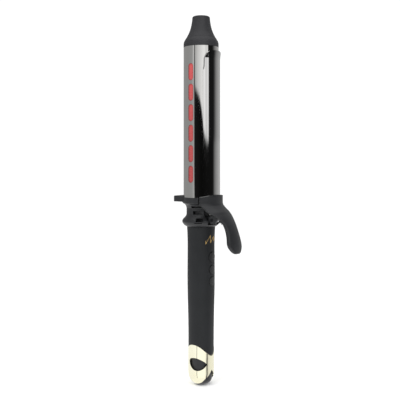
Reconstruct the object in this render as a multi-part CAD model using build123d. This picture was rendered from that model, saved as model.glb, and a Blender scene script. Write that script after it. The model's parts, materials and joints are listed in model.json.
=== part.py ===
from build123d import *
import math
import os

# Curling iron, millimetres. +Z runs up the barrel to the cool tip. The origin is on the
# axis at the foot of the handle. The clamp and its lever face +X, the rest tab faces -X,
# and the two rows of slots face -Y and +Y.
# Heights in this file are taken from a datum below the foot. Every piece moves down by
# FOOT_Z as it is written, which puts the foot at zero.
FOOT_Z = 1.5

# heights
TIP_TOP = 336.3
TIP_SEAM = 316.6
BARREL_TOP = 307.8
COLLAR_TOP = 171.3
BAND_TOP = 173.95
BAND_LOW = 166.2
NECK_LOW = 144.7

# barrel and its slots
BARREL_R = 16.0
BARREL_WALL = 1.2
BARREL_IN = BARREL_R - BARREL_WALL
SLOT_COUNT = 6
SLOT_PITCH = 18.36
SLOT_FIRST = 192.5
SLOT_LEN = 15.3
SLOT_W = 5.3
LENS_GAP = 0.1
LENS_BACK_R = 13.2
LENS_FACE_R = 15.55
LENS_HALF_W = 4.4
LENS_END = 6.0

# clamp plate
PLATE_IN = 16.5
PLATE_OUT = 17.35
PLATE_TOP = 303.6
PLATE_LOW = 164.6
PLATE_HALF_DEG = 48.0
# outline of the free end: half width seen along X, depth below the top
PLATE_END = [(0.0, 0.0), (6.4, 0.45), (9.3, 1.7), (11.0, 4.3), (11.8, 9.0), (12.75, 18.0)]
FLARE_RISE = 0.8
FLARE_LEN = 7.0
TAIL_LOW = 156.0
TAIL_HALF_W = 7.5

# lever
BAND_OUT = 19.9
BAND_HALF_DEG = 59.2
BAND_CROWN_R = 65.0
# height, outer face x at y = 0, half width, face radius, thickness
LEVER_SECTIONS = [
    (164.5, 20.5, 17.8, 20.0, 2.9),
    (161.7, 23.2, 17.05, 20.6, 3.7),
    (159.0, 26.4, 17.3, 21.2, 4.0),
    (156.8, 28.2, 15.5, 21.8, 4.2),
    (154.5, 30.1, 12.4, 22.0, 4.3),
    (151.5, 32.2, 10.7, 22.0, 4.4),
    (147.9, 34.4, 9.5, 22.0, 4.5),
    (142.7, 36.6, 9.2, 22.0, 4.6),
    (137.4, 38.4, 9.75, 22.0, 4.6),
    (132.2, 39.7, 10.7, 22.0, 4.6),
    (129.6, 40.2, 10.55, 22.0, 4.6),
    (127.8, 40.45, 9.85, 22.0, 4.4),
    (126.1, 40.55, 8.5, 22.0, 4.2),
    (125.2, 40.6, 7.7, 22.0, 4.0),
    (124.3, 40.6, 6.75, 22.0, 3.7),
    (123.4, 40.6, 5.5, 22.0, 3.2),
    (122.6, 40.4, 3.8, 22.0, 2.4),
]
PIVOT_X = 17.0
PIVOT_Z = 151.5
EAR_R = 3.6
EAR_IN = 5.0
EAR_OUT = 7.4
PIN_R = 1.5
PIN_CLEAR = 0.05
LUG_IN = 2.6
LUG_OUT = 4.7
LUG_R = 3.2

# rivets through the tail of the clamp plate
RIVET_Z = 158.3
RIVET_Y = 4.6
RIVET_R = 1.1
RIVET_HEAD_R = 1.6
RIVET_HEAD_T = 0.7
RIVET_HEAD_X = 14.5

# collar
NECK_R = 13.3
COLLAR_BAND_R = 16.7
COLLAR_BORE = 4.6
FLANGE = [
    (12.9, 144.7),
    (15.6, 146.3),
    (16.9, 148.1),
    (17.2, 150.0),
    (16.0, 152.0),
    (14.3, 153.8),
    (13.3, 156.3),
]
# sweep from the neck up into the band
CONE = [(13.3, 161.6), (13.7, 163.0), (14.1, 164.0), (14.9, 164.9), (16.3, 165.8), (16.7, 166.3)]
SEAT_Z = 165.8
SEAT_FLOOR = 5.2
BAND_CLEAR_DEG = 3.5
CAVITY_X = 9.2
CAVITY_HALF_W = 9.1
CAVITY_LOW = 147.0
UPPER_SPIGOT_R = 14.7
UPPER_SPIGOT_TOP = 177.0
LOWER_SPIGOT_R = 10.3
LOWER_SPIGOT_LOW = 131.0
TAB_OUT = 25.4
TAB_HALF_W = 10.0
TAB_Z = 167.0
TAB_T = 5.3
# foot of the curved gusset under the tab, distance behind the axis and height
GUSSET = [(13.3, 163.4), (14.4, 164.9), (16.2, 165.8), (17.6, 166.5), (19.5, TAB_Z)]
GUSSET_HALF_W = 5.5
# cuts beside the front cavity: centre height, half height, first and last angle
SIDE_SLOTS = [(157.8, 1.6, 44.7, 87.0), (151.5, 1.6, 47.0, 71.0), (148.75, 0.35, 51.0, 75.0)]
SIDE_UNDERCUT = (162.85, 0.85, 44.0, 94.0)
SIDE_DEPTH = 3.0
SIDE_WALL = 0.4
COLLAR_SCREW_Z = 136.0
COLLAR_SCREW_R = 1.0
COLLAR_SCREW_DEG = (155.0, 205.0)

# handle
GRIP_IN = 10.4
GRIP_PROFILE = [
    (12.9, 144.6),
    (12.55, 138.0),
    (12.45, 110.0),
    (12.35, 84.0),
    (11.9, 66.0),
    (11.65, 45.0),
    (11.65, 22.0),
]
# the arch where the handle meets the end cap: distance from the mid plane, height
ARCH = [(0.0, 38.6), (3.5, 38.0), (6.2, 36.5), (9.4, 33.0), (11.0, 30.2), (12.2, 27.0)]
ARCH_GAP = 0.1

# end cap and core
CAP_R = 11.86
CAP_PROFILE = [
    (11.86, 12.0),
    (11.5, 9.3),
    (10.9, 7.3),
    (10.1, 5.6),
    (9.0, 4.1),
    (7.5, 2.8),
    (5.4, 1.75),
]
CAP_T = 1.0
CAP_LIFT = 0.45
CAP_FOOT_R = 6.0
# pointed arch low in the front of the cap: half width, height
FRONT_ARCH = [(0.0, 15.6), (1.4, 14.1), (2.7, 12.5), (4.5, 10.3), (6.3, 8.5), (7.2, 6.4), (7.6, 4.6), (7.9, 3.0)]
FRONT_ARCH_HALF_W = 8.0
FRONT_ARCH_GAP = 0.12
CORE_GAP = 0.25
CORE_R = 9.95
CORE_ROUND = 5.3
CORE_FOOT_R = 5.7
CORE_FOOT_Z = FOOT_Z + 0.4
CORE_RING_R = 10.35
CORE_RING_LOW = 27.5
CORE_TOP = 31.0
CORE_WALL = 2.2
# almond opening: angle about the axis in degrees, height
ALMOND = [
    (-26, 21.2),
    (-38, 23.5),
    (-58, 25.8),
    (-76, 26.9),
    (-97, 26.6),
    (-112, 24.9),
    (-114, 22.0),
    (-103, 18.4),
    (-86, 16.1),
    (-68, 15.7),
    (-50, 16.9),
    (-36, 19.0),
]

# buttons: name, height, radius
BUTTONS = [("button_power", 117.5, 4.5), ("button_plus", 106.0, 4.0), ("button_minus", 95.7, 4.0)]
BUTTON_PROUD = 0.55
BUTTON_GAP = 0.2
BUTTON_FOOT_X = 7.8
BUTTON_FLANGE_T = 0.8
BUTTON_FLANGE_W = 0.55

# electronics in the handle
BOARD_X = 2.0
BOARD_T = 1.6
BOARD_HALF_W = 9.2
BOARD_LOW = 52.0
BOARD_TOP = 127.0
BOARD_HOLES = (54.6, 124.4)
SWITCH_TOP = 7.2

# cord entry
GLAND_R = 4.2
GLAND_BORE = 3.3
GLAND_TOP = 18.0
GLAND_CLEAR = 0.05
GLAND_ROUND = 0.7


def tube(r_out, r_in, z_low, z_high):
    body = Pos(0, 0, z_low) * extrude(Circle(r_out), z_high - z_low)
    hole = Pos(0, 0, z_low - 1) * extrude(Circle(r_in), z_high - z_low + 2)
    return body - hole


def rod(r, z_low, z_high, x=0.0, y=0.0):
    return Pos(x, y, z_low) * extrude(Circle(r), z_high - z_low)


def block(x0, x1, y0, y1, z0, z1):
    return Pos((x0 + x1) / 2, (y0 + y1) / 2, (z0 + z1) / 2) * Box(x1 - x0, y1 - y0, z1 - z0)


def rod_x(r, x0, x1, y, z):
    return Pos(x0, y, z) * Rot(0, 90, 0) * extrude(Circle(r), x1 - x0)


def rod_y(r, y0, y1, x, z):
    return Pos(x, y0, z) * Rot(-90, 0, 0) * extrude(Circle(r), y1 - y0)


def at_deg(r, deg):
    a = math.radians(deg)
    return (r * math.cos(a), r * math.sin(a))


def sector(r, half_deg, z_low, z_high):
    # wedge with its centre line on +X, reaching out to radius r at least
    reach = r / math.cos(math.radians(half_deg))
    a = math.radians(half_deg)
    p1 = (reach * math.cos(a), -reach * math.sin(a))
    p2 = (2 * reach, 0)
    p3 = (reach * math.cos(a), reach * math.sin(a))
    face = make_face(Polyline((0, 0), p1, p2, p3, close=True))
    return Pos(0, 0, z_low) * extrude(face, z_high - z_low)


def turned(points):
    # solid of revolution about Z from (r, z) corner points
    edge = Polyline(*[(r, 0, z) for r, z in points], close=True)
    return revolve(make_face(edge), Axis.Z)


def turned_smooth(curve):
    # solid of revolution whose outer wall is a smooth curve through (r, z) points
    wall = Spline(*[(r, 0, z) for r, z in curve])
    r0, z0 = curve[0]
    r1, z1 = curve[-1]
    rest = Polyline((r1, 0, z1), (0, 0, z1), (0, 0, z0), (r0, 0, z0))
    return revolve(make_face([wall, rest]), Axis.Z)


def capsule_prism(width, length, y0, y1, z):
    # capsule outline in the XZ plane, extruded along Y
    outline = SlotOverall(length, width)
    return Pos(0, y1, z) * Rot(90, 0, 0) * extrude(Rot(0, 0, 90) * outline, y1 - y0)


def slot_heights():
    return [SLOT_FIRST + SLOT_PITCH * i for i in range(SLOT_COUNT)]


def barrel_tube():
    body = tube(BARREL_R, BARREL_IN, SEAT_Z + 0.02, BARREL_TOP)
    for z in slot_heights():
        body = body - capsule_prism(SLOT_W, SLOT_LEN, -20, 20, z)
    return body


def lens_strip():
    # curved backing behind the slots of the -Y row, with a raised pad in every slot
    z_low = SLOT_FIRST - SLOT_LEN / 2 - LENS_END
    z_high = SLOT_FIRST + SLOT_PITCH * (SLOT_COUNT - 1) + SLOT_LEN / 2 + LENS_END
    body = tube(BARREL_IN - LENS_GAP, LENS_BACK_R, z_low, z_high)
    body = body & block(-LENS_HALF_W, LENS_HALF_W, -20, 0, z_low, z_high)
    shell = tube(LENS_FACE_R, LENS_BACK_R, z_low, z_high)
    for z in slot_heights():
        pad = capsule_prism(SLOT_W - 2 * LENS_GAP, SLOT_LEN - 2 * LENS_GAP, -20, -5, z)
        body = body + (pad & shell)
    return body


def emitter_board():
    return block(-3.2, 3.2, -12.6, -11.4, 181.0, 297.0)


def emitters():
    chips = [block(-1.6, 1.6, -12.9, -12.6, z - 2.5, z + 2.5) for z in slot_heights()]
    return Compound(chips)


def heater_plate():
    return block(-1.6, 1.6, -7.0, 7.0, 184.0, 292.0)


def heater_wrap():
    outer = block(-2.0, 2.0, -7.4, 7.4, 182.0, 294.0)
    return outer - block(-1.6, 1.6, -7.0, 7.0, 181.0, 295.0)


def heat_spreader():
    # half-round aluminium body between the heater and the +X wall of the barrel
    body = rod(BARREL_IN - 0.05, 180.0, 298.0) & block(2.0, 20, -9.6, 9.6, 180.0, 298.0)
    relief = block(4.6, 11.6, -7.0, 7.0, 179.0, 299.0)
    return body - relief


def temperature_sensor():
    bead = rod(1.1, 232.0, 237.0, 5.8, 0)
    legs = rod(0.35, 181.5, 232.0, 5.8, 0)
    return bead + legs


def thermal_fuse():
    body = rod(1.9, 150.0, 161.0, 0, 2.3)
    return body + rod(0.4, 145.0, 166.0, 0, 2.3)


def heater_leads():
    # two wires from the foot of the heater down the bore of the collar to the board
    solids = []
    for x, y, y_end in ((-0.9, -2.9, -5.0), (0.9, -2.9, -3.4)):
        path = Polyline((x, y, 183.9), (x, y, 133.0), (4.9, y_end, 127.8), (4.3, y_end, 122.6))
        solids.append(sweep(Plane(path @ 0, z_dir=path % 0) * Circle(0.6), path, transition=Transition.ROUND))
    return Compound([s.solid() for s in solids])


def tip_base():
    plug_r = BARREL_IN - 0.1
    step_z = BARREL_TOP + 0.1
    outer = Spline((16.05, 0, 309.4), (15.98, 0, 311.3), (15.56, 0, 313.1), (14.5, 0, 315.0), (13.5, 0, TIP_SEAM))
    rest = Polyline(
        (13.5, 0, TIP_SEAM), (11.0, 0, TIP_SEAM), (11.0, 0, 300.0), (plug_r, 0, 300.0),
        (plug_r, 0, step_z), (16.05, 0, step_z), (16.05, 0, 309.4))
    body = revolve(make_face([outer, rest]), Axis.Z)
    web = rod(11.0, 309.6, 312.0) - rod(1.6, 309.0, 313.0)
    return body + web


def cool_tip():
    outer = [
        (13.35, TIP_SEAM + 0.1), (12.35, 318.6), (11.4, 320.5), (10.65, 322.3), (10.0, 324.1),
        (9.45, 326.0), (8.8, 329.0), (8.35, 331.8), (8.1, 334.0)]
    body = turned_smooth(outer)
    crown = rod(8.1, 334.0, TIP_TOP)
    crown = fillet(crown.edges().group_by(Axis.Z)[-1], 1.6)
    body = body + crown
    hollow = turned([(0, TIP_SEAM - 1), (11.2, TIP_SEAM - 1), (10.4, 319.0), (7.6, 324.0), (6.6, 330.0), (0, 330.0)])
    post = rod(3.4, 312.1, 331.0) - rod(1.25, 311.0, 326.0)
    return (body - hollow) + post


def tip_screw():
    head = rod(2.8, 307.6, 309.5)
    shank = rod(1.25, 309.5, 325.0)
    return head + shank


def collar_outer():
    body = turned_smooth(FLANGE)
    neck = rod(NECK_R, 156.3, SEAT_Z)
    cone = turned_smooth(CONE)
    band = rod(COLLAR_BAND_R, CONE[-1][1], COLLAR_TOP)
    return body + neck + cone + band


def rest_tab():
    slab = block(-TAB_OUT, -8, -TAB_HALF_W, TAB_HALF_W, TAB_Z, TAB_Z + TAB_T)
    slab = fillet(slab.edges().filter_by(Axis.Z).group_by(Axis.X)[0], 3.2)
    slab = fillet(slab.edges().group_by(Axis.Z)[-1], 0.8)
    foot = [(-x, 0, z) for x, z in GUSSET]
    under = make_face([
        Polyline(foot[-1], (-8, 0, TAB_Z), (-8, 0, foot[0][2]), foot[0]),
        Spline(*foot),
    ])
    return slab + extrude(under, GUSSET_HALF_W, both=True)


def side_cut(side, z, half_h, deg_a, deg_b):
    # slot round one side of the neck, between two angles from +X
    ring = tube(30, NECK_R - SIDE_DEPTH, z - half_h, z + half_h)
    mid = side * (deg_a + deg_b) / 2
    half = (deg_b - deg_a) / 2
    return ring & (Rot(0, 0, mid) * sector(30, half, z - 3, z + 3))


def side_slots():
    # cuts on each side of the neck; the lower ones leave a wall beside the front cavity
    wall_y = CAVITY_HALF_W + SIDE_WALL
    wall = block(-40, 40, -wall_y, wall_y, CAVITY_LOW - 2, SEAT_Z - SEAT_FLOOR)
    cuts = []
    for side in (-1, 1):
        cuts.append(side_cut(side, *SIDE_UNDERCUT))
        for slot in SIDE_SLOTS:
            cuts.append(side_cut(side, *slot) - wall)
    return cuts


def collar_screw_holes(r_in, r_out):
    # radial cylinders at the back, where the sleeve is screwed to the collar
    return [Rot(0, 0, deg) * rod_x(COLLAR_SCREW_R, r_in, r_out, 0, COLLAR_SCREW_Z) for deg in COLLAR_SCREW_DEG]


def hinge_collar():
    body = collar_outer() + rest_tab()
    # the front of the band is left to the lever, so only a seat stays under the barrel
    front = tube(40, BARREL_R - 0.3, SEAT_Z - SEAT_FLOOR - 0.01, BAND_TOP + 1)
    body = body - (front & sector(40, BAND_HALF_DEG + BAND_CLEAR_DEG, 150, 180))
    body = body - rod(BARREL_R + 0.02, SEAT_Z, BAND_TOP + 1)
    body = body + rod(UPPER_SPIGOT_R, SEAT_Z - 0.5, UPPER_SPIGOT_TOP)
    body = body + rod(LOWER_SPIGOT_R, LOWER_SPIGOT_LOW, NECK_LOW + 0.5)
    body = body - block(CAVITY_X, 40, -CAVITY_HALF_W, CAVITY_HALF_W, CAVITY_LOW, SEAT_Z - SEAT_FLOOR)
    for cut in side_slots():
        body = body - cut
    for side in (-1, 1):
        y0 = min(side * LUG_IN, side * LUG_OUT)
        y1 = max(side * LUG_IN, side * LUG_OUT)
        arm = block(CAVITY_X - 1.0, PIVOT_X, y0, y1, PIVOT_Z - LUG_R, PIVOT_Z + LUG_R)
        body = body + arm + rod_y(LUG_R, y0, y1, PIVOT_X, PIVOT_Z)
    body = body - rod_y(PIN_R, -LUG_OUT - 0.2, LUG_OUT + 0.2, PIVOT_X, PIVOT_Z)
    bore = rod(COLLAR_BORE, LOWER_SPIGOT_LOW - 1, UPPER_SPIGOT_TOP + 1)
    body = body - bore
    for hole in collar_screw_holes(7.5, 14.5):
        body = body - hole
    return body


def hinge_pin():
    shaft = rod_y(PIN_R, -EAR_OUT, EAR_OUT, PIVOT_X, PIVOT_Z)
    return chamfer(shaft.edges().filter_by(GeomType.CIRCLE), 0.25)


def torsion_spring():
    coil_r = 2.15
    wire_r = 0.35
    pitch = 0.95
    turns = 4.0
    path = Helix(pitch=pitch, height=pitch * turns, radius=coil_r)
    section = Plane(path @ 0, z_dir=path % 0) * Circle(wire_r)
    coil = sweep(section, path)
    coil = Pos(PIVOT_X, pitch * turns / 2, PIVOT_Z) * Rot(90, 0, 0) * coil
    end = coil_r * 0.999
    y_end = pitch * turns / 2
    leg_line = Line((PIVOT_X + end, y_end, PIVOT_Z + 0.3), (PIVOT_X + end + 2.6, y_end, PIVOT_Z - 4.6))
    leg = sweep(Plane(leg_line @ 0, z_dir=leg_line % 0) * Circle(wire_r), leg_line)
    return (coil + leg).solid()


def clamp_plate():
    blank = tube(PLATE_OUT, PLATE_IN, PLATE_LOW, PLATE_TOP - FLARE_LEN)
    flare = turned([
        (PLATE_IN, PLATE_TOP - FLARE_LEN), (PLATE_OUT, PLATE_TOP - FLARE_LEN),
        (PLATE_OUT + FLARE_RISE, PLATE_TOP), (PLATE_IN + FLARE_RISE, PLATE_TOP)])
    blank = (blank + flare) & sector(30, PLATE_HALF_DEG, PLATE_LOW - 1, PLATE_TOP + 1)
    # the free end is a soft arch, seen along X
    right = [(y, -d) for y, d in PLATE_END]
    left = [(-y, d) for y, d in reversed(right[1:])]
    arch = Spline(*(left + right))
    y_end, d_end = right[-1]
    y_side = y_end + 2
    sides = Polyline(
        (y_end, d_end), (y_side, d_end), (y_side, -160), (-y_side, -160), (-y_side, d_end), (-y_end, d_end))
    trim = Plane.YZ * make_face([arch, sides])
    blank = blank & (Pos(0, 0, PLATE_TOP) * extrude(trim, 60))
    tail = tube(PLATE_OUT, PLATE_IN, TAIL_LOW, PLATE_LOW)
    plate = blank + (tail & block(5, 30, -TAIL_HALF_W, TAIL_HALF_W, TAIL_LOW, PLATE_LOW))
    for side in (-1, 1):
        plate = plate - rod_x(RIVET_R, 5, 30, side * RIVET_Y, RIVET_Z)
    return plate


def arc_strip(z, cx, r_out, r_in, a):
    # strip between two arcs about (cx, 0), with round ends, symmetric about the X axis
    mid = (r_out + r_in) / 2
    swell = (r_out - r_in) * 0.42

    def spot(r, ang):
        return (cx + r * math.cos(ang), r * math.sin(ang))

    def tip(side):
        x, y = spot(mid, side * a)
        return (x - side * swell * math.sin(side * a), y + side * swell * math.cos(a))

    outline = [
        ThreePointArc(spot(r_out, -a), spot(r_out, 0), spot(r_out, a)),
        ThreePointArc(spot(r_out, a), tip(1), spot(r_in, a)),
        ThreePointArc(spot(r_in, a), spot(r_in, 0), spot(r_in, -a)),
        ThreePointArc(spot(r_in, -a), tip(-1), spot(r_out, -a)),
    ]
    return Pos(0, 0, z) * make_face(outline)


def lever_face(z, x_front, half_w, face_r, thick):
    a = math.asin((half_w - 0.42 * thick) / face_r)
    return arc_strip(z, x_front - face_r, face_r, face_r - thick, a)


def band_face(z):
    return arc_strip(z, 0.0, BAND_OUT, PLATE_OUT, math.radians(BAND_HALF_DEG) - 0.06)


def refined(rows, steps):
    # Catmull-Rom rows between the given rows
    ends = [rows[0]] + rows + [rows[-1]]
    out = []
    for p, q, r, w in zip(ends, ends[1:], ends[2:], ends[3:]):
        for k in range(steps):
            t = k / steps
            out.append(tuple(
                b + 0.5 * t * ((c - a) + t * ((2 * a - 5 * b + 4 * c - d) + t * (3 * (b - c) + d - a)))
                for a, b, c, d in zip(p, q, r, w)))
    return out + [rows[-1]]


def lever_ears():
    # two ears reach back from the lever to the hinge pin
    up = Polyline(
        (PIVOT_X, 0, PIVOT_Z - EAR_R), (20.5, 0, PIVOT_Z - EAR_R + 0.7), (24.5, 0, 153.5), (25.3, 0, 157.2),
        (PIVOT_X, 0, PIVOT_Z + EAR_R), close=True)
    ears = []
    for side in (-1, 1):
        y0 = min(side * EAR_IN, side * EAR_OUT)
        web = Pos(0, y0 + EAR_OUT - EAR_IN, 0) * extrude(make_face(up), EAR_OUT - EAR_IN, dir=(0, -1, 0))
        ears.append(web + rod_y(EAR_R, y0, y0 + EAR_OUT - EAR_IN, PIVOT_X, PIVOT_Z))
    return ears


def thumb_lever():
    faces = [band_face(BAND_LOW)] + [lever_face(*row) for row in refined(LEVER_SECTIONS, 3)]
    tongue = loft(faces, ruled=True)
    band = extrude(band_face(BAND_LOW), BAND_TOP - BAND_LOW)
    band = band & rod_x(BAND_CROWN_R, 0, 40, 0, BAND_TOP - BAND_CROWN_R)
    side = make_face(Polyline(
        (PLATE_IN, 0, TAIL_LOW + 0.6), (24.5, 0, TAIL_LOW + 0.6), (24.5, 0, TAIL_LOW + 2.4), (21.8, 0, 161.3),
        (18.2, 0, BAND_LOW - 1.6), (PLATE_IN, 0, BAND_LOW - 1.6), close=True))
    pad = extrude(side, TAIL_HALF_W + 0.5, both=True)
    pad = pad - rod(PLATE_OUT, TAIL_LOW, BAND_LOW + 1)
    body = tongue + band + pad
    for ear in lever_ears():
        body = body + ear
    body = body - rod_y(PIN_R + PIN_CLEAR, -20, 20, PIVOT_X, PIVOT_Z)
    for side in (-1, 1):
        body = body - rod_x(RIVET_R, 10, PLATE_OUT + 4.0, side * RIVET_Y, RIVET_Z)
    return body


def clamp_rivets():
    parts = []
    for side in (-1, 1):
        y = side * RIVET_Y
        shank = rod_x(RIVET_R, RIVET_HEAD_X, PLATE_OUT + 3.8, y, RIVET_Z)
        head = rod_x(RIVET_HEAD_R, RIVET_HEAD_X, RIVET_HEAD_X + RIVET_HEAD_T, y, RIVET_Z)
        parts.append((shank + head).solid())
    return Compound(parts)


def arch_tool(x_reach, z_shift):
    # everything under the arch line, extruded along Y
    right = [(x, 0, z + z_shift) for x, z in ARCH]
    left = [(-x, 0, z) for x, _, z in reversed(right[1:])]
    top = Spline(*(left + right))
    end_z = right[-1][2]
    x_end = right[-1][0]
    base = Polyline((x_end, 0, end_z), (x_end, 0, -20), (-x_end, 0, -20), (-x_end, 0, end_z))
    face = make_face([top, base])
    under = extrude(face, 30, both=True)
    side = block(-x_reach, x_reach, -30, 30, -20, end_z)
    return under + side


def handle_sleeve():
    outer = turned_smooth(GRIP_PROFILE)
    body = outer - rod(GRIP_IN, 0, 200)
    body = body - arch_tool(30, ARCH_GAP)
    for _, z, r in BUTTONS:
        body = body - rod_x(r + BUTTON_GAP, 5, 20, 0, z)
    for hole in collar_screw_holes(7.5, 14.5):
        body = body - hole
    return body


def collar_screws():
    return Compound(collar_screw_holes(7.8, 12.45))


def button(z, r):
    dome = rod_x(r, BUTTON_FOOT_X, 20, 0, z)
    dome = dome & rod(12.45 + BUTTON_PROUD, z - 10, z + 10)
    flange = rod_x(r + BUTTON_FLANGE_W, BUTTON_FOOT_X, BUTTON_FOOT_X + BUTTON_FLANGE_T, 0, z)
    return dome + flange


def circuit_board():
    board = block(BOARD_X, BOARD_X + BOARD_T, -BOARD_HALF_W, BOARD_HALF_W, BOARD_LOW, BOARD_TOP)
    for z in BOARD_HOLES:
        board = board - rod_x(0.9, -6, 10, 0, z)
    return board


def tact_switches():
    parts = []
    face = BOARD_X + BOARD_T
    for _, z, _ in BUTTONS:
        case = block(face, face + 2.6, -3.0, 3.0, z - 3.0, z + 3.0)
        parts.append((case + rod_x(1.6, face + 2.6, SWITCH_TOP, 0, z)).solid())
    return Compound(parts)


def relay():
    face = BOARD_X + BOARD_T
    return block(face, face + 5.4, -5.0, 5.0, 59.0, 74.0)


def capacitor():
    face = BOARD_X + BOARD_T
    return rod(2.6, 77.0, 88.0, face + 2.6, -3.2)


def board_tray():
    # half-round carrier behind the board
    shell = tube(GRIP_IN - 0.1, GRIP_IN - 1.6, BOARD_LOW - 6, BOARD_TOP + 2)
    shell = shell & block(-20, BOARD_X, -20, 20, 0, 200)
    ledges = []
    for z in BOARD_HOLES:
        post = block(-9.3, BOARD_X, -2.4, 2.4, z - 2.0, z + 2.0)
        ledges.append(post - rod_x(0.9, -6, 4, 0, z))
    return shell + ledges[0] + ledges[1]


def board_screws():
    parts = []
    face = BOARD_X + BOARD_T
    for z in BOARD_HOLES:
        parts.append((rod_x(0.9, -5, face, 0, z) + rod_x(1.8, face, face + 1.2, 0, z)).solid())
    return Compound(parts)


def front_arch(inset):
    # everything under the pointed arch in the front of the cap, extruded along +X
    top_z = FRONT_ARCH[0][1]
    right = [(0.0, top_z - 2 * inset)] + [(y - inset, z - inset) for y, z in FRONT_ARCH[1:]]
    left = [(-y, z) for y, z in reversed(right)]
    half_w = FRONT_ARCH_HALF_W - inset
    low = Polyline(right[-1], (half_w, -5), (-half_w, -5), left[0])
    face = make_face([Spline(*right), low, Spline(*left)])
    return extrude(Plane.YZ * face, 30)


def almond_prism(mirror):
    # the almond wrapped at the cap's radius and extruded outwards along Y
    pts = []
    for deg, z in ALMOND:
        x, _ = at_deg(CAP_R, deg)
        pts.append((x if not mirror else -x, 0, z))
    line = Spline(*pts[1:])
    close_a = Line(pts[-1], pts[0])
    close_b = Line(pts[0], pts[1])
    face = make_face([line, close_a, close_b])
    depth = 30
    prism = extrude(face, depth, dir=(0, 1, 0) if mirror else (0, -1, 0))
    return prism


def end_cap():
    outer = rod(CAP_R, CAP_PROFILE[0][1], 45.0) + turned_smooth(CAP_PROFILE)
    inner_curve = [(r - CAP_T, z + CAP_LIFT) for r, z in CAP_PROFILE]
    inner = turned_smooth(inner_curve) + rod(inner_curve[0][0], inner_curve[0][1], 60)
    inner = inner + rod(CAP_FOOT_R, -5, 4.0)
    body = (outer - inner) & arch_tool(30, 0.0)
    body = body - front_arch(0.0)
    for mirror in (False, True):
        body = body - almond_prism(mirror)
    return body


def end_core():
    curve = [(r - CAP_T - CORE_GAP, z + CAP_LIFT + CORE_GAP) for r, z in CAP_PROFILE]
    room = turned_smooth(curve) + rod(curve[0][0], curve[0][1], CORE_TOP)
    room = room + rod(CORE_FOOT_R, CORE_FOOT_Z, 4.0)
    room = room + front_arch(FRONT_ARCH_GAP)
    nose = rod(CORE_R, CORE_FOOT_Z, CORE_TOP)
    nose = fillet(nose.edges().group_by(Axis.Z)[0], CORE_ROUND)
    body = (nose & room) + rod(CORE_RING_R, CORE_RING_LOW, CORE_TOP)
    hollow = rod(CORE_R - CORE_WALL, GLAND_TOP + 0.4, CORE_TOP + 1)
    body = body - hollow
    body = body - rod(GLAND_R + GLAND_CLEAR, -1, GLAND_TOP + 1)
    return body


def swivel_gland():
    body = rod(GLAND_R, FOOT_Z, GLAND_TOP)
    body = fillet(body.edges().group_by(Axis.Z)[0], GLAND_ROUND)
    head = rod(5.6, GLAND_TOP + 0.7, 21.0) + rod(GLAND_R, GLAND_TOP, GLAND_TOP + 0.8)
    return body + head - rod(GLAND_BORE, -1, 16.0)


def slip_rings():
    rings = [tube(5.9, 4.1, z, z + 1.6) for z in (22.0, 25.4)]
    return Compound([r.solid() for r in rings])


def slip_spindle():
    body = rod(4.1, 21.0, 28.0)
    for z in (21.0, 24.2):
        body = body + tube(4.6, 4.0, z, z + 0.9)
    return body


def brush_block():
    base = rod(7.6, 33.0, 36.0)
    return base


def slip_brushes():
    # two leaf contacts hang from the block and press on the rings
    parts = []
    for x, z in ((6.1, 22.0), (-6.1, 25.4)):
        x0 = x if x > 0 else x - 0.4
        parts.append(block(x0, x0 + 0.4, -1.5, 1.5, z, 33.0))
    return Compound(parts)


def power_leads():
    parts = []
    for y in (-3.0, 3.0):
        path = Polyline((-2.0, y, 36.0), (-2.0, y, 46.0), (4.6, y, 51.0), (4.6, y, 55.0))
        parts.append(sweep(Plane(path @ 0, z_dir=path % 0) * Circle(0.75), path, transition=Transition.ROUND).solid())
    return Compound(parts)


def mirrored(part):
    return Rot(0, 0, 180) * part


NODES = {
    "barrel_tube": barrel_tube,
    "lens_strip_front": lens_strip,
    "lens_strip_back": lambda: mirrored(lens_strip()),
    "emitter_board_front": emitter_board,
    "emitter_board_back": lambda: mirrored(emitter_board()),
    "emitters_front": emitters,
    "emitters_back": lambda: mirrored(emitters()),
    "heater_plate": heater_plate,
    "heater_wrap": heater_wrap,
    "heat_spreader_front": heat_spreader,
    "heat_spreader_back": lambda: mirrored(heat_spreader()),
    "temperature_sensor": temperature_sensor,
    "thermal_fuse": thermal_fuse,
    "heater_leads": heater_leads,
    "tip_base": tip_base,
    "cool_tip": cool_tip,
    "tip_screw": tip_screw,
    "hinge_collar": hinge_collar,
    "hinge_pin": hinge_pin,
    "torsion_spring": torsion_spring,
    "clamp_plate": clamp_plate,
    "thumb_lever": thumb_lever,
    "clamp_rivets": clamp_rivets,
    "handle_sleeve": handle_sleeve,
    "collar_screws": collar_screws,
    "board_tray": board_tray,
    "circuit_board": circuit_board,
    "tact_switches": tact_switches,
    "relay": relay,
    "capacitor": capacitor,
    "board_screws": board_screws,
    "end_cap": end_cap,
    "end_core": end_core,
    "swivel_gland": swivel_gland,
    "slip_spindle": slip_spindle,
    "slip_rings": slip_rings,
    "brush_block": brush_block,
    "slip_brushes": slip_brushes,
    "power_leads": power_leads,
}

os.makedirs("parts", exist_ok=True)
down = Pos(0, 0, -FOOT_Z)
for name, make in NODES.items():
    export_step(down * make(), f"parts/{name}.step")
for name, z, r in BUTTONS:
    export_step(down * button(z, r), f"parts/{name}.step")
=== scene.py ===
import json
import math

import bmesh
import bpy
from mathutils import Matrix, Vector

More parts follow.
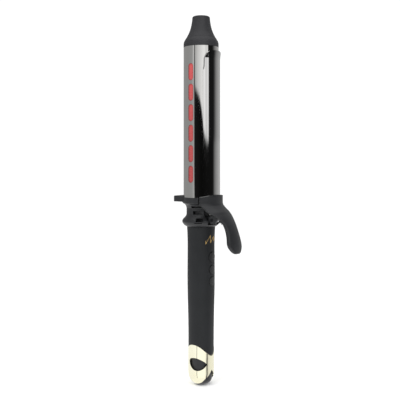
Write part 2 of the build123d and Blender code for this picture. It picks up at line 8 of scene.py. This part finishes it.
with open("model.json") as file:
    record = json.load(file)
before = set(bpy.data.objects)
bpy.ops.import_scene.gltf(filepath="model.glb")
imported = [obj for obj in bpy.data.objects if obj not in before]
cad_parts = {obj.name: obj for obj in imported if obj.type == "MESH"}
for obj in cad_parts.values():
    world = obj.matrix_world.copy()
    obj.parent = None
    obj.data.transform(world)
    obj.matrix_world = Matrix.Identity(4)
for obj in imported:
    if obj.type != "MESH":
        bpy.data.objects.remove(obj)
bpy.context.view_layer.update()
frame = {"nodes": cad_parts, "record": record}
scene = bpy.context.scene
scene.view_settings.view_transform = "Standard"

# ------------------------------------------------------------------ camera
# The lens looks level, 36 degrees round from the front, and its back is shifted down so
# that the whole iron is in the frame with its long edges upright.
AZIMUTH = math.radians(36.0)
EYE_DISTANCE = 0.624
EYE_HEIGHT = 0.2055
EYE_ASIDE = -0.00101
LENS = 61.4
SHIFT_DOWN = 0.105


def make_camera():
    data = bpy.data.cameras.new("camera")
    data.lens = LENS
    data.sensor_width = 36.0
    data.shift_y = -SHIFT_DOWN
    data.clip_start = 0.01
    data.clip_end = 20.0
    cam = bpy.data.objects.new("camera", data)
    scene.collection.objects.link(cam)
    right = Vector((math.cos(AZIMUTH), math.sin(AZIMUTH), 0.0))
    back = Vector((math.sin(AZIMUTH), -math.cos(AZIMUTH), 0.0))
    cam.location = right * EYE_ASIDE + back * EYE_DISTANCE + Vector((0.0, 0.0, EYE_HEIGHT))
    cam.rotation_mode = "QUATERNION"
    cam.rotation_quaternion = (-back).to_track_quat("-Z", "Y")
    scene.camera = cam


# ------------------------------------------------------------------ node helpers
class Nodes:
    """Short-hand for building a shader tree."""

    def __init__(self, mat):
        mat.use_nodes = True
        self.tree = mat.node_tree
        self.tree.nodes.clear()
        self.out = self.add("ShaderNodeOutputMaterial")

    def add(self, kind, **props):
        node = self.tree.nodes.new(kind)
        for key, value in props.items():
            setattr(node, key, value)
        return node

    def link(self, a, b):
        self.tree.links.new(a, b)

    def put(self, socket, value):
        if isinstance(value, bpy.types.NodeSocket):
            self.link(value, socket)
        else:
            socket.default_value = value

    def math(self, op, a, b=0.0):
        node = self.add("ShaderNodeMath", operation=op)
        for socket, value in zip(node.inputs, (a, b)):
            self.put(socket, value)
        return node.outputs[0]

    def coords(self, scale=(1, 1, 1)):
        tex = self.add("ShaderNodeTexCoord")
        mapping = self.add("ShaderNodeMapping")
        mapping.inputs["Scale"].default_value = scale
        self.link(tex.outputs["Object"], mapping.inputs["Vector"])
        return mapping.outputs["Vector"]

    def noise(self, vector, scale, detail=3.0, rough=0.55):
        node = self.add("ShaderNodeTexNoise")
        self.link(vector, node.inputs["Vector"])
        node.inputs["Scale"].default_value = scale
        node.inputs["Detail"].default_value = detail
        node.inputs["Roughness"].default_value = rough
        return node.outputs["Fac"]

    def ramp(self, fac, stops):
        node = self.add("ShaderNodeValToRGB")
        elements = node.color_ramp.elements
        while len(elements) > 1:
            elements.remove(elements[0])
        first = True
        for pos, value in stops:
            colour = value if isinstance(value, tuple) else (value, value, value)
            if first:
                element = elements[0]
                element.position = pos
                first = False
            else:
                element = elements.new(pos)
            element.color = (*colour, 1.0)
        self.put(node.inputs["Fac"], fac)
        return node.outputs["Color"]

    def span(self, value, a, b, lo, hi, smooth=False):
        node = self.add("ShaderNodeMapRange")
        if smooth:
            node.interpolation_type = "SMOOTHSTEP"
        self.put(node.inputs["Value"], value)
        node.inputs["From Min"].default_value = a
        node.inputs["From Max"].default_value = b
        node.inputs["To Min"].default_value = lo
        node.inputs["To Max"].default_value = hi
        return node.outputs["Result"]

    def mix(self, fac, a, b):
        node = self.add("ShaderNodeMix", data_type="RGBA")
        self.put(node.inputs["Factor"], fac)
        for name, value in (("A", a), ("B", b)):
            socket = [s for s in node.inputs if s.name == name and s.type == "RGBA"][0]
            if isinstance(value, tuple):
                value = (*value, 1.0) if len(value) == 3 else value
            self.put(socket, value)
        return [s for s in node.outputs if s.type == "RGBA"][0]

    def bump(self, height, strength, distance):
        node = self.add("ShaderNodeBump")
        node.inputs["Strength"].default_value = strength
        node.inputs["Distance"].default_value = distance
        self.link(height, node.inputs["Height"])
        return node.outputs["Normal"]

    def principled(self, **sockets):
        node = self.add("ShaderNodeBsdfPrincipled")
        for key, value in sockets.items():
            name = key.replace("_", " ")
            if isinstance(value, tuple) and len(value) == 3:
                value = (*value, 1.0)
            self.put(node.inputs[name], value)
        self.link(node.outputs["BSDF"], self.out.inputs["Surface"])
        return node


def new_material(name):
    mat = bpy.data.materials.new(name)
    return mat, Nodes(mat)


# ------------------------------------------------------------------ materials
# depth of the moulded grain, and of the draw lines on metal
GRAIN_DEPTH = 0.00006
DRAW_LINE_DEPTH = 0.00002

# mark on the front of the handle: its height in metres, the rest in millimetres
MARK_HEIGHT = 0.1322
GRIP_R = 12.5
MARK_LEFT = -7.0
MARK_RIGHT = 7.5
MARK_LEAN = 0.35
MARK_WAVES = 1.3
MARK_STROKE = 0.95


def plastic(name, dark, light, rough, grain=0.25, grain_size=2600.0, specular=0.5):
    """Moulded or soft-touch plastic: fine grain, faint mottling, small changes of gloss."""
    mat, n = new_material(name)
    co = n.coords()
    cloud = n.noise(co, 55.0, 4.0)
    fine = n.noise(co, grain_size, 2.0, 0.7)
    colour = n.mix(n.span(cloud, 0.3, 0.7, 0.0, 1.0), dark, light)
    broad = n.span(cloud, 0.3, 0.7, rough - 0.03, rough + 0.03)
    shine = n.math("ADD", broad, n.span(fine, 0.3, 0.7, -0.03, 0.03))
    relief = n.bump(fine, grain, GRAIN_DEPTH)
    n.principled(Base_Color=colour, Roughness=shine, Normal=relief, Specular_IOR_Level=specular)
    return mat


def flourish(n):
    """Small mark on the front of the handle: one wavy line that dies away to the right."""
    sep = n.add("ShaderNodeSeparateXYZ")
    n.link(n.coords(), sep.inputs["Vector"])
    # millimetres round the handle from its front, and up from the middle of the mark
    along = n.math("MULTIPLY", n.math("ARCTAN2", sep.outputs["Y"], sep.outputs["X"]), GRIP_R)
    up = n.math("MULTIPLY", n.math("SUBTRACT", sep.outputs["Z"], MARK_HEIGHT), 1000.0)
    lean = n.math("SUBTRACT", along, n.math("MULTIPLY", up, MARK_LEAN))
    swing = n.span(lean, MARK_LEFT, MARK_RIGHT, 3.4, 0.6)
    crest = n.math("MULTIPLY", n.math("SINE", n.math("MULTIPLY", lean, MARK_WAVES)), swing)
    near = n.math("LESS_THAN", n.math("ABSOLUTE", n.math("SUBTRACT", up, crest)), MARK_STROKE)
    after = n.math("GREATER_THAN", lean, MARK_LEFT)
    within = n.math("MULTIPLY", after, n.math("LESS_THAN", lean, MARK_RIGHT))
    return n.math("MULTIPLY", near, within)


def marked_grip(name, dark, light, gold):
    """Soft-touch handle with the small gold mark printed on its front."""
    mat, n = new_material(name)
    co = n.coords()
    cloud = n.noise(co, 55.0, 4.0)
    fine = n.noise(co, 2600.0, 2.0, 0.7)
    mark = flourish(n)
    colour = n.mix(mark, n.mix(n.span(cloud, 0.3, 0.7, 0.0, 1.0), dark, light), gold)
    n.principled(
        Base_Color=colour, Metallic=n.math("MULTIPLY", mark, 0.8),
        Roughness=n.span(fine, 0.3, 0.7, 0.48, 0.56),
        Normal=n.bump(fine, 0.35, GRAIN_DEPTH), Specular_IOR_Level=0.36)
    return mat


def polished(name, colour, shade, rough, smudge=0.05, wave=0.02):
    """Polished metal: near-mirror, with hair-fine draw lines along it and faint handling marks."""
    mat, n = new_material(name)
    marks = n.noise(n.coords(), 38.0, 5.0, 0.6)
    lines = n.noise(n.coords((900.0, 900.0, 6.0)), 1.0, 2.0, 0.5)
    tint = n.mix(n.span(marks, 0.35, 0.75, 0.0, 1.0), colour, shade)
    handled = n.span(marks, 0.45, 0.8, rough, rough + smudge)
    shine = n.math("ADD", handled, n.span(lines, 0.3, 0.7, -0.01, 0.01))
    relief = n.bump(lines, wave, DRAW_LINE_DEPTH)
    n.principled(Base_Color=tint, Metallic=1.0, Roughness=shine, Normal=relief)
    return mat


def glowing_lens(name, z_first, pitch, half_w, half_len):
    """Red lens in capsule slots, brightest along the middle of each and darker towards its edge."""
    mat, n = new_material(name)
    sep = n.add("ShaderNodeSeparateXYZ")
    n.link(n.coords(), sep.inputs["Vector"])
    across = n.math("DIVIDE", n.math("ABSOLUTE", sep.outputs["X"]), half_w)
    steps = n.math("DIVIDE", n.math("SUBTRACT", sep.outputs["Z"], z_first), pitch)
    near = n.math("ABSOLUTE", n.math("SUBTRACT", steps, n.math("ROUND", steps)))
    flat = (half_len - half_w) / pitch
    beyond = n.math("DIVIDE", n.math("MAXIMUM", n.math("SUBTRACT", near, flat), 0.0), half_w / pitch)
    squares = n.math("ADD", n.math("MULTIPLY", across, across), n.math("MULTIPLY", beyond, beyond))
    edge = n.math("SQRT", squares)
    ribs = n.noise(n.coords((1.0, 1.0, 4.0)), 420.0, 3.0, 0.6)
    glow = n.ramp(edge, [
        (0.0, (0.50, 0.085, 0.088)), (0.55, (0.44, 0.065, 0.065)),
        (0.85, (0.22, 0.03, 0.028)), (1.0, (0.10, 0.022, 0.02))])
    glow = n.mix(n.span(ribs, 0.3, 0.7, 0.0, 0.25), glow, (0.60, 0.14, 0.14))
    # the emitters are a little stronger towards the tip
    level = n.span(sep.outputs["Z"], z_first, z_first + 5 * pitch, 0.60, 0.92)
    n.principled(
        Base_Color=(0.12, 0.015, 0.015), Roughness=n.span(ribs, 0.3, 0.7, 0.22, 0.34), Emission_Color=glow,
        Emission_Strength=level, Normal=n.bump(ribs, 0.15, 0.0001))
    return mat


def board_material(name):
    """Circuit board: solder-mask green with copper tracks under it."""
    mat, n = new_material(name)
    tracks = n.add("ShaderNodeTexBrick")
    n.link(n.coords(), tracks.inputs["Vector"])
    tracks.inputs["Scale"].default_value = 260.0
    tracks.inputs["Mortar Size"].default_value = 0.06
    grain = n.noise(n.coords(), 900.0)
    fac = n.math("MULTIPLY", tracks.outputs["Fac"], 0.6)
    colour = n.mix(fac, (0.012, 0.085, 0.035), (0.05, 0.20, 0.07))
    relief = n.bump(tracks.outputs["Fac"], 0.3, 0.00005)
    n.principled(Base_Color=colour, Roughness=n.span(grain, 0.3, 0.7, 0.28, 0.38), Normal=relief)
    return mat


make_camera()

BLACK_DARK = (0.0125, 0.0132, 0.0148)
BLACK_LIGHT = (0.0165, 0.0172, 0.0192)
looks = {
    "barrel_metal": polished("barrel_metal_look", (0.80, 0.795, 0.775), (0.75, 0.745, 0.72), 0.045),
    "clamp_metal": polished("clamp_metal_look", (0.80, 0.795, 0.785), (0.75, 0.745, 0.73), 0.05),
    "lens_red": glowing_lens("lens_red_look", 0.191, 0.01836, 0.00265, 0.00765),
    "black_plastic": plastic("black_plastic_look", BLACK_DARK, BLACK_LIGHT, 0.40),
    "grip_plastic": marked_grip(
        "grip_plastic_look", (0.0085, 0.0096, 0.0110), (0.011, 0.0124, 0.0142), (0.62, 0.42, 0.16)),
    "tip_plastic": plastic(
        "tip_plastic_look", (0.017, 0.017, 0.0195), (0.022, 0.022, 0.025), 0.50, grain=0.3),
    "button_plastic": plastic(
        "button_plastic_look", (0.012, 0.0125, 0.013), (0.015, 0.0155, 0.0165), 0.25, grain=0.08),
    "pale_gold": polished("pale_gold_look", (0.93, 0.905, 0.72), (0.90, 0.86, 0.62), 0.10, smudge=0.06),
    "steel": polished("steel_look", (0.62, 0.62, 0.63), (0.52, 0.52, 0.53), 0.28, smudge=0.1, wave=0.15),
    "aluminium": polished(
        "aluminium_look", (0.78, 0.79, 0.80), (0.70, 0.71, 0.72), 0.35, smudge=0.1, wave=0.2),
    "ceramic": plastic("ceramic_look", (0.62, 0.60, 0.54), (0.70, 0.68, 0.62), 0.6),
    "film": plastic("film_look", (0.42, 0.18, 0.025), (0.50, 0.23, 0.035), 0.25, grain=0.05),
    "board_green": board_material("board_green_look"),
    "chip": plastic("chip_look", (0.012, 0.012, 0.013), (0.02, 0.02, 0.022), 0.35, grain=0.15),
    "relay_plastic": plastic(
        "relay_plastic_look", (0.01, 0.05, 0.16), (0.015, 0.065, 0.2), 0.3, grain=0.05),
    "wire": plastic("wire_look", (0.20, 0.012, 0.01), (0.27, 0.018, 0.014), 0.45, grain=0.1),
    "brass": polished("brass_look", (0.78, 0.58, 0.25), (0.68, 0.48, 0.19), 0.25, smudge=0.1, wave=0.1),
}
# painted shade: the pin and rivets in the hinge get a dark metal look that stands for the shade in the
# hinge cavity, not bright
hinge_shade_steel = polished(
    "hinge_shade_steel_look", (0.045, 0.046, 0.05), (0.03, 0.031, 0.034), 0.35, smudge=0.1, wave=0.1)
HINGE_SHADE_NODES = ("hinge_pin", "clamp_rivets")
slot_of = {s["node"]: s["material_slot"] for s in frame["record"]["subparts"]}
for name, obj in frame["nodes"].items():
    obj.data.materials.clear()
    # the hinge pin and rivets take the dark look that paints the hinge cavity's shade
    obj.data.materials.append(hinge_shade_steel if name in HINGE_SHADE_NODES else looks[slot_of[name]])


# ------------------------------------------------------------------ stage
def floor():
    mesh = bpy.data.meshes.new("floor")
    bm = bmesh.new()
    bmesh.ops.create_grid(bm, x_segments=1, y_segments=1, size=6.0)
    bm.to_mesh(mesh)
    bm.free()
    obj = bpy.data.objects.new("floor", mesh)
    obj.location.z = -0.0004
    scene.collection.objects.link(obj)
    mat, n = new_material("floor_look")
    grain = n.noise(n.coords(), 30.0)
    paint = n.mix(n.span(grain, 0.3, 0.7, 0, 1), (0.96, 0.96, 0.96), (0.98, 0.98, 0.98))
    n.principled(Base_Color=paint, Roughness=0.9)
    mesh.materials.append(mat)
    obj.visible_glossy = False


# Brightness seen in the polished parts, by angle round from the camera's side (degrees,
# positive to its right) and by height on a screen of one metre radius.
SCREEN_R = 1.0
SCREEN_LOW = -0.9
SCREEN_HIGH = 1.6
HIGH_RING = [
    (-180, 0.32), (-90, 0.31), (-57, 0.35), (-53, 0.60), (-47, 0.62), (-46, 0.10), (-41, 0.10),
    (-39.5, 0.46), (-20, 0.68), (0, 0.84), (14, 0.95), (25, 0.95), (32, 0.72), (38, 0.86), (44, 0.88),
    (47, 0.03), (52, 0.01), (78, 0.011), (87, 0.055), (95, 0.155), (104, 0.25), (114, 0.31), (126, 0.39),
    (141, 0.45), (180, 0.32)]
MID_RING = [
    (-180, 0.32), (-90, 0.31), (-57, 0.34), (-53, 0.44), (-44, 0.38), (-42, 0.01), (0, 0.004), (50, 0.006),
    (74, 0.008), (79, 0.04), (87, 0.125), (95, 0.225), (104, 0.30), (114, 0.36), (126, 0.43), (141, 0.52),
    (180, 0.32)]
LOW_RING = [
    (-180, 0.95), (-60, 1.05), (-42, 1.1), (-40, 0.42), (-36, 0.42), (-34, 1.15), (30, 1.15), (46, 0.95),
    (50, 0.05), (57, 0.05), (61, 0.75), (80, 0.9), (180, 0.95)]
# lower edge of the bright card in front, which hangs lower towards the right
CARD_EDGE = [
    (-60, 0.372), (-36, 0.368), (-10, 0.349), (2.5, 0.324), (9, 0.300), (14, 0.280), (20, 0.262),
    (34, 0.246)]


def screen():
    """A ring of studio cards and flags that only reflections see."""
    mesh = bpy.data.meshes.new("screen")
    bm = bmesh.new()
    steps = 96
    angles = [math.tau * i / steps for i in range(steps)]
    rows = []
    for z in (SCREEN_LOW, SCREEN_HIGH):
        rows.append([bm.verts.new((SCREEN_R * math.cos(a), SCREEN_R * math.sin(a), z)) for a in angles])
    for i in range(steps):
        j = (i + 1) % steps
        bm.faces.new((rows[0][i], rows[0][j], rows[1][j], rows[1][i]))
    bm.to_mesh(mesh)
    bm.free()
    obj = bpy.data.objects.new("screen", mesh)
    scene.collection.objects.link(obj)
    mat, n = new_material("screen_look")
    sep = n.add("ShaderNodeSeparateXYZ")
    n.link(n.coords(), sep.inputs["Vector"])
    # x points at the camera's side, y to its right
    turn = Matrix.Rotation(-(AZIMUTH - math.pi / 2), 3, "Z")
    x, y = (
        n.math("ADD", n.math("MULTIPLY", sep.outputs["X"], a), n.math("MULTIPLY", sep.outputs["Y"], b))
        for a, b, _ in (turn[0], turn[1]))
    round_fac = n.span(n.math("ARCTAN2", y, x), -math.pi, math.pi, 0.0, 1.0)
    z = sep.outputs["Z"]

    def ring(stops):
        return n.ramp(round_fac, [((a + 180) / 360, v) for a, v in stops])

    over = n.math("SUBTRACT", z, ring(CARD_EDGE))
    upper = n.mix(n.span(over, -0.012, 0.012, 0.0, 1.0, True), ring(MID_RING), ring(HIGH_RING))
    whole = n.mix(n.span(z, -0.16, -0.02, 0.0, 1.0, True), ring(LOW_RING), upper)
    glow = n.add("ShaderNodeEmission")
    n.link(whole, glow.inputs["Color"])
    n.link(glow.outputs["Emission"], n.out.inputs["Surface"])
    mesh.materials.append(mat)
    for ray in ("camera", "diffuse", "transmission", "volume_scatter", "shadow"):
        setattr(obj, "visible_" + ray, False)


def softbox(name, where, aim, size, watts):
    data = bpy.data.lights.new(name, "AREA")
    data.shape = "RECTANGLE"
    data.size, data.size_y = size
    data.energy = watts
    obj = bpy.data.objects.new(name, data)
    obj.location = where
    obj.rotation_mode = "QUATERNION"
    obj.rotation_quaternion = (Vector(aim) - Vector(where)).to_track_quat("-Z", "Y")
    obj.visible_glossy = False
    scene.collection.objects.link(obj)


def light_the_scene():
    world = bpy.data.worlds.new("world")
    world.use_nodes = True
    world.node_tree.nodes["Background"].inputs["Color"].default_value = (1.0, 1.0, 1.0, 1.0)
    world.node_tree.nodes["Background"].inputs["Strength"].default_value = 1.07
    scene.world = world
    right = Vector((math.cos(AZIMUTH), math.sin(AZIMUTH), 0.0))
    front = Vector((math.sin(AZIMUTH), -math.cos(AZIMUTH), 0.0))
    aim = (0.0, 0.0, 0.17)
    softbox("key", right * -0.7 + front * 0.7 + Vector((0, 0, 0.8)), aim, (0.7, 0.9), 6.0)
    softbox("fill", right * 0.9 + front * 0.5 + Vector((0, 0, 0.5)), aim, (0.6, 0.9), 4.0)


floor()
screen()
light_the_scene()
